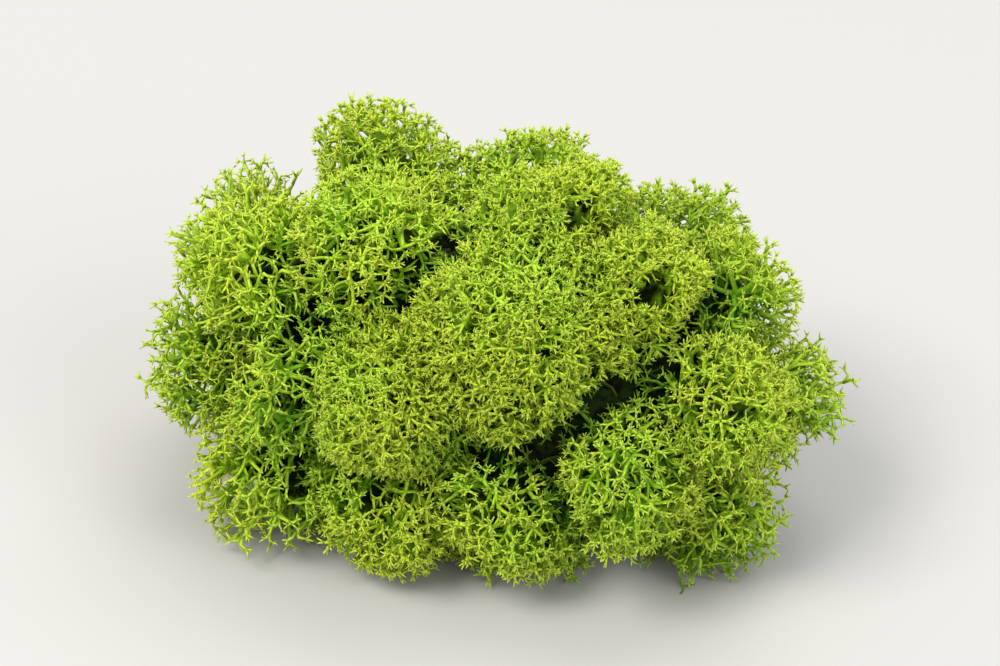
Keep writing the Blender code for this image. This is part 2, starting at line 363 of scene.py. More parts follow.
@dataclass
class Branches:
    """Branches as bent lines: each is a run of points with a thickness, a tone and an openness at each.

    The pull says how long a branch keeps its first and its last direction.
    """

    PULL = 0.38
    STEPS, SHORT_STEPS = 3, 2

    points: list[np.ndarray] = field(default_factory=list)
    radii: list[np.ndarray] = field(default_factory=list)
    tones: list[np.ndarray] = field(default_factory=list)
    skies: list[np.ndarray] = field(default_factory=list)

    def add(self, start: np.ndarray, end: np.ndarray, start_way: np.ndarray, end_way: np.ndarray,
            radii: tuple[float, float], tones: tuple[float, float], skies: tuple[float, float],
            steps: int = STEPS) -> None:
        """Adds one bent branch.

        Args:
            start: Where it leaves its fork.
            end: Where it ends.
            start_way: The direction in which it leaves.
            end_way: The direction in which it arrives.
            radii: Its radius at the start and at the end, in metres.
            tones: Its tone at the start and at the end, from 0 at old stems to 1 at tips, partly painted
                shade.
            skies: How open to the sky it is at the start and at the end, which sets its painted shade.
            steps: How many straight pieces it has.
        """
        pull = np.linalg.norm(end - start) * self.PULL
        along = np.linspace(0, 1, steps + 1)[:, None]
        back = 1 - along
        line = (back**3 * start + 3 * back**2 * along * (start + start_way * pull)
                + 3 * back * along**2 * (end - end_way * pull) + along**3 * end)
        self.points.append(line)
        for kept, ends in ((self.radii, radii), (self.tones, tones), (self.skies, skies)):
            kept.append(ends[0] + (ends[1] - ends[0]) * along[:, 0])

    def footings(self) -> tuple[np.ndarray, np.ndarray]:
        """Finds where smaller branches may spring from these.

        Returns:
            The places, one a row, and the branches' directions there.
        """
        places = [(line[:-1] + line[1:]) / 2 for line in self.points]
        ways = [unit(line[1:] - line[:-1]) for line in self.points]
        return np.vstack(places), np.vstack(ways)


@dataclass
class Buds:
    """Places where sprigs grow, with the sprigs' headings, variants, tones and openness."""

    places: np.ndarray = field(default_factory=lambda: np.zeros((0, 3)))
    headings: np.ndarray = field(default_factory=lambda: np.zeros((0, 3)))
    variants: np.ndarray = field(default_factory=lambda: np.zeros(0))
    tones: np.ndarray = field(default_factory=lambda: np.zeros(0))
    skies: np.ndarray = field(default_factory=lambda: np.zeros(0))


@dataclass
class Heart:
    """A closed surface, with a tone at each corner."""

    corners: np.ndarray = field(default_factory=lambda: np.zeros((0, 3)))
    faces: list[tuple[int, ...]] = field(default_factory=list)
    tones: np.ndarray = field(default_factory=lambda: np.zeros(0))


@dataclass
class Skeleton:
    """What the branchlet nodes work on: bent lines, buds and a heart, as one loose mesh."""

    name: str
    branches: Branches
    thinnest_bough: float
    buds: Buds = field(default_factory=Buds)
    heart: Heart = field(default_factory=Heart)

    def build(self) -> bpy.types.Object:
        """Builds the mesh and its attributes, and links its object.

        Returns:
            The object.
        """
        branches, buds, heart = self.branches, self.buds, self.heart
        runs = [len(line) for line in branches.points]
        starts = np.cumsum([0] + runs)
        edges = [(start + k, start + k + 1) for start, run in zip(starts, runs) for k in range(run - 1)]
        line_points = np.vstack(branches.points)
        lines, twigs, shell = len(line_points), len(buds.places), len(heart.corners)
        first = lines + twigs
        faces = [tuple(corner + first for corner in face) for face in heart.faces]
        mesh = bpy.data.meshes.new(self.name)
        mesh.from_pydata(np.vstack((line_points, buds.places, heart.corners)), edges, faces)
        bough = np.repeat([radii[0] > self.thinnest_bough for radii in branches.radii], runs)
        for name, on_lines, on_buds, on_heart in (
            ("thickness", np.concatenate(branches.radii), np.zeros(twigs), np.zeros(shell)),
            ("tone", np.concatenate(branches.tones), buds.tones, heart.tones),
            ("sky", np.concatenate(branches.skies), buds.skies, np.zeros(shell)),
            ("bough", bough, np.zeros(twigs), np.full(shell, -1.0)),
            ("bud", np.zeros(lines), np.ones(twigs), np.zeros(shell)),
            ("variant", np.zeros(lines), buds.variants, np.zeros(shell)),
            ("heart", np.zeros(lines), np.zeros(twigs), np.ones(shell)),
        ):
            set_floats(mesh, name, np.concatenate((on_lines, on_buds, on_heart)))
        heading = mesh.attributes.new("heading", "FLOAT_VECTOR", "POINT")
        headings = np.vstack((np.zeros((lines, 3)), buds.headings, np.zeros((shell, 3))))
        heading.data.foreach_set("vector", headings.ravel())
        return linked(self.name, mesh)


@dataclass
class SprigSet:
    """The small forked sprigs that the branches end in, one unit long, for the nodes to pick from.

    The shares say how near the tips a sprig's knees and forks are. The tapers are shares of its thickness.
    """

    SIDES = 3
    FOOT = -0.1
    ARM_SCATTER, TOOTH_SCATTER = 0.45, 0.5
    KNEE_LEAN, KNEE_PLACE = 0.55, 0.5
    KNEE_SHARE, FORK_SHARE = 0.3, 0.6
    KNEE_TAPER, BLUNT_TAPER, SHARP_TAPER, BLUNT_TIP = 0.95, 0.82, 0.85, 0.36
    TOOTH_OVERLAP = 0.8

    shapes: tuple[tuple[SprigShape, int], ...]
    seed: int = 7
    draw: np.random.Generator = field(init=False)
    collection: bpy.types.Collection = field(init=False)
    ranges: list[tuple[int, int]] = field(init=False)

    def __post_init__(self) -> None:
        """Builds every variant of every shape."""
        self.draw = np.random.default_rng(self.seed)
        self.collection = bpy.data.collections.new("sprigs")
        bpy.context.scene.collection.children.link(self.collection)
        self.ranges = []
        count = 0
        for shape, variants in self.shapes:
            self.ranges.append((count, count + variants))
            for _ in range(variants):
                self.collection.objects.link(self.variant(shape, f"sprig_{count:03d}"))
                count += 1

    def turned(self, way: Vector, lean: float, spin: float) -> Vector:
        """A direction leant away from another.

        Args:
            way: The direction that is left.
            lean: The angle between the two, in radians.
            spin: The angle round the first, in radians.

        Returns:
            The leaning direction, of length 1.
        """
        side = Quaternion(way, spin) @ way.orthogonal().normalized()
        return (way * math.cos(lean) + side * math.sin(lean)).normalized()

    def spike(self, mesh: bmesh.types.BMesh, places: list[Vector], radii: list[float],
              shares: list[float]) -> None:
        """Adds one closed spike along a few places.

        Args:
            mesh: The mesh that it is added to.
            places: The middles of its rings.
            radii: The rings' radii. A last radius of 0 makes a point.
            shares: How near the sprig's tips each ring is, from 0 to 1.
        """
        layer = mesh.verts.layers.float["tip_share"]
        way = (places[-1] - places[0]).normalized()
        side = way.orthogonal().normalized()
        rings = []
        for place, radius, share in zip(places, radii, shares):
            outs = [Quaternion(way, math.tau * k / self.SIDES) @ side for k in range(self.SIDES)]
            ring = [mesh.verts.new(place + out * radius) for out in (outs if radius else outs[:1])]
            for vert in ring:
                vert[layer] = share
            rings.append(ring)
        for lower, upper in zip(rings, rings[1:]):
            for k in range(self.SIDES):
                after = (k + 1) % self.SIDES
                ends = (upper[after], upper[k]) if len(upper) > 1 else (upper[0],)
                mesh.faces.new((lower[k], lower[after], *ends))
        mesh.faces.new(rings[0][::-1])
        if len(rings[-1]) > 1:
            mesh.faces.new(rings[-1])

    def variant(self, shape: SprigShape, name: str) -> bpy.types.Object:
        """Builds one sprig.

        Args:
            shape: Its proportions.
            name: Its name.

        Returns:
            The sprig, with its foot at the origin and its tips about one unit up +Z.
        """
        draw = self.draw
        mesh = bmesh.new()
        mesh.verts.layers.float.new("tip_share")
        arms = draw.integers(shape.arms[0], shape.arms[1] + 1)
        thick = shape.thickness
        up, foot = Vector((0, 0, 1)), Vector((0, 0, self.FOOT))
        first = draw.uniform(0, math.tau)
        for arm in range(arms):
            spin = first + math.tau * arm / arms + draw.uniform(-self.ARM_SCATTER, self.ARM_SCATTER)
            lean = draw.uniform(*shape.arm_lean)
            length = draw.uniform(*shape.arm_share)
            knee = self.turned(up, lean * self.KNEE_LEAN, spin) * length * self.KNEE_PLACE
            end = self.turned(up, lean, spin) * length
            if shape.blunt:
                radii = [thick, thick * self.KNEE_TAPER, thick * self.BLUNT_TAPER]
                self.spike(mesh, [foot, knee, end], radii, [0.0, self.KNEE_SHARE, self.FORK_SHARE])
            else:
                self.spike(mesh, [foot, end], [thick, thick * self.SHARP_TAPER], [0.0, self.FORK_SHARE])
            teeth = draw.integers(shape.teeth[0], shape.teeth[1] + 1)
            out = (end - knee).normalized()
            for tooth in range(teeth):
                scatter = draw.uniform(-self.TOOTH_SCATTER, self.TOOTH_SCATTER)
                turn = spin + math.tau * tooth / teeth + scatter
                along = self.turned(out, draw.uniform(*shape.tooth_lean), turn)
                reach = draw.uniform(*shape.tooth_share)
                places = [end - out * thick * self.TOOTH_OVERLAP, end + along * reach]
                radii = [thick * self.SHARP_TAPER, thick * self.BLUNT_TIP * shape.blunt]
                self.spike(mesh, places, radii, [self.FORK_SHARE, 1.0])
        data = bpy.data.meshes.new(name)
        mesh.to_mesh(data)
        mesh.free()
        return bpy.data.objects.new(name, data)

    def pick(self, kind: int, count: int, draw: np.random.Generator) -> np.ndarray:
        """Draws the numbers of some variants of one shape."""
        return draw.integers(*self.ranges[kind], size=count)

    def remove(self) -> None:
        """Takes the variants away once the tufts are built."""
        for obj in list(self.collection.objects):
            data = obj.data
            bpy.data.objects.remove(obj)
            bpy.data.meshes.remove(data)
        bpy.data.collections.remove(self.collection)


@dataclass
class SkyView:
    """How much open sky the places on the clump see past its tufts, each tuft taken as a ball, for painted
    shade.
    """

    HORIZON = -0.05

    forms: list[TuftForm]
    rays: int = 64
    ball_share: float = 0.9
    floor_share: float = 0.4

    def openness(self, places: np.ndarray, headings: np.ndarray) -> np.ndarray:
        """Looks out from some places.

        Args:
            places: The places, one a row.
            headings: The direction in which each faces.

        Returns:
            For each place, from 0 where the tufts hide all its sky to 1 where it is open.
        """
        turn = math.pi * (3 - math.sqrt(5))
        rise = 1 - 2 * (np.arange(self.rays) + 0.5) / self.rays
        flat = np.sqrt(1 - rise**2)
        angle = turn * np.arange(self.rays)
        ways = np.stack((flat * np.cos(angle), flat * np.sin(angle), rise), axis=1)
        weights = np.maximum(headings @ ways.T, 0)
        seen = np.where(ways[:, 2] > self.HORIZON, 1.0, self.floor_share)[None] * np.ones_like(weights)
        for form in self.forms:
            radius = np.median(form.tip_reaches) * self.ball_share
            gap = form.heart - places
            along = gap @ ways.T
            apart = np.sum(gap**2, axis=1)[:, None]
            seen[(along > 0) & (apart - along**2 < radius**2) & (apart > radius**2)] = 0
        return (weights * seen).sum(axis=1) / weights.sum(axis=1)


@dataclass
class Tuft:
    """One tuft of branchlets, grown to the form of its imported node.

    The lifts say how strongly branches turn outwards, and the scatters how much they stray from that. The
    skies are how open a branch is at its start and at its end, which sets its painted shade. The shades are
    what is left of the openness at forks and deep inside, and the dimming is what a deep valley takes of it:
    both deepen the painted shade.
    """

    form: TuftForm
    sky: SkyView
    sprigs: SprigSet
    seed: int
    stem_radius: float = 0.42 * MM
    bough_radius: float = 0.33 * MM
    twig_radius: float = 0.25 * MM
    sprig_foot_radius: float = 0.2 * MM
    shortest_spur: float = 1.1 * MM
    root_flare: float = 1.15
    spur_flare: float = 1.2
    root_scatter: float = 0.8 * MM
    least_depth_share: float = 0.7
    fork_gap_scatter: tuple[float, float] = (0.85, 1.15)
    fork_jitter: float = 0.6
    least_fork_reach: float = 0.22
    least_spur_rise: float = 0.4
    twig_lift: float = 0.7
    sprig_lift: float = 0.45
    inner_lift: float = 0.3
    twig_scatter: float = 0.12
    sprig_scatter: float = 0.22
    inner_scatter: float = 0.4
    surface_tone: float = 0.92
    deep_tone: float = 0.12
    tip_tone: float = 0.78
    foot_tone: float = 0.8
    # Openness of stems and boughs, which sets their painted shade.
    stem_sky: tuple[float, float] = (0.1, 0.3)
    bough_sky: tuple[float, float] = (0.3, 0.6)
    fork_shade: float = 0.7
    inner_shade: float = 0.8
    valley_dimming: float = 0.5
    valley_width: float = 3.0 * MM
    valley_depth: float = 2.2 * MM
    valley_loss: float = 0.6
    bridge_rise: float = 1.2 * MM
    pit_scale: float = 230.0
    pit_ramp: float = 0.14
    pit_depth: float = 2.4 * MM
    pit_loss: float = 0.8
    thin_side_share: float = 0.75
    thin_side_start: float = 0.5
    stray_top: float = 50 * MM
    lump_scales: tuple[float, float, float] = (78.0, 150.0, 360.0)
    lump_shares: tuple[float, float, float] = (0.75, 0.85, 0.35)
    highest_lump: float = 0.5 * MM
    heart_roughness: float = 0.3 * MM
    heart_hollow: float = 3.0 * MM
    smallest_heart: float = 1.5 * MM
    tries: int = 9000
    draw: np.random.Generator = field(init=False)
    sizes: BranchSizes = field(init=False)

    def __post_init__(self) -> None:
        """Seeds the tuft's random draws and looks up its habit."""
        self.draw = np.random.default_rng(self.seed)
        self.sizes = HABITS[self.habit]

    @property
    def habit(self) -> Habit:
        """How closely its branches stand."""
        return TUFT_HABITS.get(self.form.node, Habit.LOOSE)

    @property
    def name(self) -> str:
        """The name of the finished piece."""
        return self.form.node.replace("_tuft", "_branchlets")

    def candidates(self, depths: np.ndarray) -> np.ndarray:
        """Random places under the tuft's lumpy outer surface, even over its area.

        Args:
            depths: How deep under the surface each place is.

        Returns:
            The places that lie above the floor, one a row.
        """
        ways = unit(self.draw.normal(size=(len(depths), 3)))
        reach = self.form.reach(ways)
        keep = self.form.is_open(ways) & (self.draw.random(len(ways)) < (reach / reach.max()) ** 2)
        places = self.under_surface(ways[keep], depths[keep])
        return places[places[:, 2] > FLOOR_CLEARANCE]

    def under_surface(self, ways: np.ndarray, depths: np.ndarray) -> np.ndarray:
        """Places so deep under the lumpy outer surface, in some directions from the heart.

        Args:
            ways: Directions of length 1, one a row.
            depths: How deep under the surface each place is.

        Returns:
            The places, one a row.
        """
        surface = self.form.heart + ways * self.form.reach(ways)[:, None]
        lumps = sum(self.noise_at(surface, scale) * share
                    for scale, share in zip(self.lump_scales, self.lump_shares))
        rises = np.minimum(lumps * self.sizes.lump_height, self.highest_lump)
        return surface + ways * (rises - depths)[:, None]

    def noise_at(self, places: np.ndarray, scale: float) -> np.ndarray:
        """A smooth random number at each place, about from -0.7 to 0.7."""
        return np.array([noise.noise(Vector(place)) for place in places * scale])

    def valley(self, places: np.ndarray, deep: bool = True) -> np.ndarray:
        """How near some places are to a neighbouring tuft.

        Args:
            places: The places, one a row.
            deep: Whether the neighbours past a deep valley are meant, or the others.

        Returns:
            For each place, from 0 to 1.
        """
        near = np.zeros(len(places))
        for form in self.sky.forms:
            pair = frozenset((self.form.node, form.node))
            if form is not self.form and (pair in DEEP_VALLEYS) == deep:
                gaps = places - form.heart
                above = np.linalg.norm(gaps, axis=1) - form.reach(unit(gaps))
                near = np.maximum(near, np.clip(1 - above / self.valley_width, 0, 1))
        return near

    def pit(self, places: np.ndarray) -> np.ndarray:
        """How far some places lie inside a thin spot of the growth, from 0 to 1.

        Args:
            places: The places, one a row.

        Returns:
            A number for each place. Each tuft has thin spots of its own.
        """
        rises = self.noise_at(places + self.seed, self.pit_scale) - self.sizes.pit_limit
        side = np.array(THIN_SIDES.get(self.form.node, (0.0, 0.0, 0.0)))
        facing = unit(places - self.form.heart) @ side
        rises += np.maximum(facing - self.thin_side_start, 0) * self.thin_side_share
        return np.clip(rises / self.pit_ramp, 0, 1)

    def sunk(self, places: np.ndarray) -> np.ndarray:
        """Places moved down into deep valleys and pits, and up where tufts have grown together.

        Args:
            places: The places, one a row.

        Returns:
            The moved places.
        """
        ways = unit(places - self.form.heart)
        drops = self.valley(places) * self.valley_depth + self.pit(places) * self.pit_depth
        drops -= self.valley(places, deep=False) ** 2 * self.bridge_rise
        return places - ways * drops[:, None]

    def strayed(self, places: np.ndarray) -> np.ndarray:
        """The places, with a few of them raised above their neighbours.

        Args:
            places: The places, one a row.

        Returns:
            The places, as many as before.
        """
        rises = self.draw.uniform(*self.sizes.stray_rise, size=len(places))
        rises *= (self.draw.random(len(places)) < self.sizes.stray_share) & (places[:, 2] < self.stray_top)
        return places + unit(places - self.form.heart) * rises[:, None]

    def thinned(self, places: np.ndarray) -> np.ndarray:
        """The places, with fewer in deep valleys and pits."""
        loss = self.valley(places) ** 2 * self.valley_loss + self.pit(places) * self.pit_loss
        return places[self.draw.random(len(places)) > loss]

    def spaced(self, places: np.ndarray, spacing: float) -> np.ndarray:
        """Thins places out.

        Args:
            places: Candidate places, one a row.
            spacing: The least distance between two kept places.

        Returns:
            The kept places.
        """
        kept = np.full((len(places), 3), np.inf)
        count = 0
        for place in places:
            if count == 0 or np.min(np.sum((kept[:count] - place) ** 2, axis=1)) > spacing**2:
                kept[count] = place
                count += 1
        return kept[:count]

    def forks_below(self, ends: np.ndarray, spacing: float, depth: float) -> tuple[np.ndarray, np.ndarray]:
        """Gathers branch ends into forks that stand below them.

        Args:
            ends: The ends, one a row.
            spacing: The distance between forks.
            depth: How far below the outer surface the forks stand.

        Returns:
            The forks' places, and for each end the number of its fork.
        """
        seeds = self.spaced(self.draw.permutation(ends), spacing)
        gaps = np.linalg.norm(ends[:, None] - seeds[None], axis=2)
        gaps *= self.draw.uniform(*self.fork_gap_scatter, size=gaps.shape)
        owner = gaps.argmin(axis=1)
        used, owner = np.unique(owner, return_inverse=True)
        places = np.empty((len(used), 3))
        for number in range(len(used)):
            middle = ends[owner == number].mean(axis=0)
            way = unit(middle - self.form.heart)
            reach = self.form.reach(way[None])[0]
            places[number] = self.form.heart + way * max(reach - depth, reach * self.least_fork_reach)
        places += self.draw.normal(size=places.shape) * self.sizes.depth_jitter * self.fork_jitter
        return self.sunk(places), owner

    def depth_shaded_tone(self, places: np.ndarray) -> np.ndarray:
        """The tone at some places: it falls with their depth under the tuft's surface, as painted shade.

        Args:
            places: The places, one a row.

        Returns:
            The tones.
        """
        gaps = places - self.form.heart
        depths = self.form.reach(unit(gaps)) - np.linalg.norm(gaps, axis=1)
        return np.clip(self.surface_tone - self.sizes.depth_shade_fall * depths, self.deep_tone, self.tip_tone)

    def footing_of(self, places: np.ndarray, footings: np.ndarray) -> np.ndarray:
        """For each place, the number of the nearest point on a branch that lies below it.

        Args:
            places: The places, one a row.
            footings: The points on the branches, one a row.

        Returns:
            The numbers of the points.
        """
        gaps = places[:, None] - footings[None]
        lengths = np.linalg.norm(gaps, axis=2)
        rises = np.einsum("ijk,ik->ij", gaps, unit(places - self.form.heart))
        unfit = (lengths < self.shortest_spur) | (rises < lengths * self.least_spur_rise)
        lengths[unfit] += self.form.tip_reaches.max()
        return lengths.argmin(axis=1)

    def headed(self, ways: np.ndarray, scatter: float) -> np.ndarray:
        """Directions turned a little at random."""
        return unit(ways + self.draw.normal(size=ways.shape) * scatter)

    def outwards(self, places: np.ndarray) -> np.ndarray:
        """The directions from the heart to some places."""
        return unit(places - self.form.heart)

    def grow(self) -> tuple[Branches, Buds]:
        """Grows the tuft from its heart outwards.

        Returns:
            The branches, and the buds where their sprigs stand.
        """
        sizes, branches = self.sizes, Branches()
        depths = self.draw.normal(sizes.sprig_depth, sizes.depth_jitter, size=self.tries)
        depths = np.maximum(depths, sizes.sprig_depth * self.least_depth_share)
        outer = self.spaced(self.candidates(depths), sizes.sprig_spacing)
        outer = self.strayed(self.sunk(self.thinned(outer)))
        depths = self.draw.uniform(*sizes.inner_depth, size=self.tries)
        inner = self.thinned(self.spaced(self.candidates(depths), sizes.inner_spacing))
        twig_forks, outer_owner = self.forks_below(outer, sizes.twig_spacing, sizes.twig_depth)
        bough_forks, twig_owner = self.forks_below(twig_forks, sizes.bough_spacing, sizes.bough_depth)
        bough_ways = self.outwards(bough_forks)
        bough_tones, twig_tones = self.depth_shaded_tone(bough_forks), self.depth_shaded_tone(twig_forks)
        for fork, way, tone in zip(bough_forks, bough_ways, bough_tones):
            root = self.form.heart + self.draw.normal(size=3) * self.root_scatter
            branches.add(root, fork, way, way, (self.stem_radius * self.root_flare, self.stem_radius),
                         (0.0, tone), self.stem_sky)
        ways = unit(twig_forks - bough_forks[twig_owner]) + self.outwards(twig_forks) * self.twig_lift
        twig_ways = self.headed(ways, self.twig_scatter)
        for number, fork in enumerate(twig_forks):
            owner = twig_owner[number]
            branches.add(bough_forks[owner], fork, bough_ways[owner], twig_ways[number],
                         (self.stem_radius, self.bough_radius), (bough_tones[owner], twig_tones[number]),
                         self.bough_sky)
        ways = unit(outer - twig_forks[outer_owner]) + self.outwards(outer) * self.sprig_lift
        outer_ways = self.headed(ways, self.sprig_scatter)
        # Painted shade: the sprigs darken where the tufts hide the sky, and more in deep valleys.
        outer_sky = self.sky.openness(outer, self.outwards(outer))
        outer_sky = outer_sky * (1 - self.valley(outer) * self.valley_dimming)
        for number, place in enumerate(outer):
            fork = outer_owner[number]
            branches.add(twig_forks[fork], place, twig_ways[fork], outer_ways[number],
                         (self.bough_radius, self.twig_radius), (twig_tones[fork], self.tip_tone),
                         (outer_sky[number] * self.fork_shade, outer_sky[number]))
        footings, footing_ways = branches.footings()
        # Painted shade of the inner sprigs, deeper than that of the outer ones.
        inner_sky = self.sky.openness(inner, self.outwards(inner))
        inner_sky = inner_sky * (self.inner_shade - self.valley(inner) * self.valley_dimming)
        inner_tones = self.depth_shaded_tone(inner)
        footing = self.footing_of(inner, footings)
        ways = unit(inner - footings[footing]) + self.outwards(inner) * self.inner_lift
        inner_ways = self.headed(ways, self.inner_scatter)
        for number, place in enumerate(inner):
            foot, tone, open_sky = footing[number], inner_tones[number], inner_sky[number]
            branches.add(footings[foot], place, footing_ways[foot], inner_ways[number],
                         (self.sprig_foot_radius * self.spur_flare, self.sprig_foot_radius),
                         (tone * self.foot_tone, tone), (open_sky * self.inner_shade, open_sky),
                         branches.SHORT_STEPS)
        kind = SPRIG_KINDS[self.habit]
        variants = (self.sprigs.pick(kind, len(outer), self.draw),
                    self.sprigs.pick(INNER_SPRIG_KIND, len(inner), self.draw))
        return branches, Buds(
            places=np.vstack((outer, inner)),
            headings=np.vstack((outer_ways, inner_ways)),
            variants=np.concatenate(variants),
            tones=np.concatenate((np.full(len(outer), self.tip_tone), inner_tones)),
            skies=np.concatenate((outer_sky, inner_sky)),
        )

    def old_heart(self) -> Heart:
        """Shapes the tuft's heart of crowded old stems, which closes its gaps from behind.

        Returns:
            The heart, sunk where the growth over it is thin, and darkened there with painted shade.
        """
        ways, faces = ball(self.sizes.heart_divisions)
        depths = self.draw.normal(self.sizes.heart_depth, self.heart_roughness, size=len(ways))
        corners = self.under_surface(ways, depths)
        above = [self.under_surface(ways, np.full(len(ways), depth))
                 for depth in (self.sizes.sprig_depth, *self.sizes.inner_depth)]
        hollow = np.max([self.valley(above[0]), *map(self.pit, above), ~self.form.is_open(ways)], axis=0)
        corners = self.sunk(corners) - ways * (hollow * self.heart_hollow)[:, None]
        reaches = np.einsum("ij,ij->i", corners - self.form.heart, ways)
        corners = self.form.heart + ways * np.maximum(reaches, self.smallest_heart)[:, None]
        corners[:, 2] = np.maximum(corners[:, 2], FLOOR_CLEARANCE * 2)
        # Painted shade: the heart's tone falls where it lies hollow under thin growth.
        return Heart(corners, faces, self.sizes.heart_tone * (1 - hollow))

    def build(self, tree: "BranchletTree", material: bpy.types.Material,
              heart_material: bpy.types.Material) -> bpy.types.Object:
        """Builds the finished piece.

        Args:
            tree: The geometry nodes that turn the bent lines into branchlets.
            material: The finish of this tuft.
            heart_material: The finish of its old stems.

        Returns:
            The piece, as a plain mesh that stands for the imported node.
        """
        branches, buds = self.grow()
        skeleton = Skeleton(self.name, branches, self.bough_radius, buds, self.old_heart()).build()
        skeleton.data.materials.append(material)
        skeleton.data.materials.append(heart_material)
        values = {
            "Sprigs": self.sprigs.collection,
            "Sprig Length": self.sizes.sprig_length,
            "Seed": self.seed,
            "Material": material,
            "Heart Material": heart_material,
        }
        return tree.apply(skeleton, values)


class TreeWriter:
    """Writes a node tree: adds nodes, sets their plain inputs and links them.

    A Mix node has several sockets of one name, so the ones for colours are told by number.
    """

    MIX_INPUTS = (0, 6, 7)
    MIX_OUTPUT = 2

    def __init__(self, tree: bpy.types.NodeTree) -> None:
        """Takes the tree that is written."""
        self.tree = tree

    def add(self, kind: str, inputs: dict | None = None, **settings) -> bpy.types.Node:
        """Adds a node.

        Args:
            kind: The node's type name.
            inputs: For each input, by name or number, an output to link or a plain value.
            settings: The node's own settings.

        Returns:
            The new node.
        """
        node = self.tree.nodes.new(kind)
        for key, value in settings.items():
            setattr(node, key, value)
        self.fill(node, inputs or {})
        return node

    def fill(self, node: bpy.types.Node, inputs: dict) -> None:
        """Links or sets a node's inputs, given by name or number.

        Args:
            node: The node.
            inputs: For each input, an output to link or a plain value.
        """
        for key, value in inputs.items():
            if isinstance(value, bpy.types.NodeSocket):
                self.tree.links.new(value, node.inputs[key])
            else:
                node.inputs[key].default_value = value

    def attribute(self, name: str) -> bpy.types.NodeSocket:
        """The value of a piece's own attribute, in a material."""
        return self.add("ShaderNodeAttribute", attribute_name=name).outputs["Fac"]

    def math(self, operation: str, *values) -> bpy.types.NodeSocket:
        """The output of a Math node over some outputs or numbers."""
        node = self.add("ShaderNodeMath", dict(enumerate(values)), operation=operation)
        return node.outputs[0]

    def mix(self, share: bpy.types.NodeSocket, first: bpy.types.NodeSocket | tuple,
            second: bpy.types.NodeSocket | tuple, blend: str = "MIX") -> bpy.types.NodeSocket:
        """A colour between two colours, or between the first and the two blended."""
        inputs = dict(zip(self.MIX_INPUTS, (share, first, second)))
        return self.add("ShaderNodeMix", inputs, data_type="RGBA", blend_type=blend).outputs[self.MIX_OUTPUT]

    def smooth_step(self, value: bpy.types.NodeSocket, low: float, high: float) -> bpy.types.NodeSocket:
        """A number that eases from 0 to 1 while a value goes from one limit to the other.

        Args:
            value: The value.
            low: Where it gives 0.
            high: Where it gives 1.

        Returns:
            The eased number.
        """
        node = self.add("ShaderNodeMapRange", {"Value": value, "From Min": low, "From Max": high},
                        interpolation_type="SMOOTHSTEP")
        return node.outputs[0]


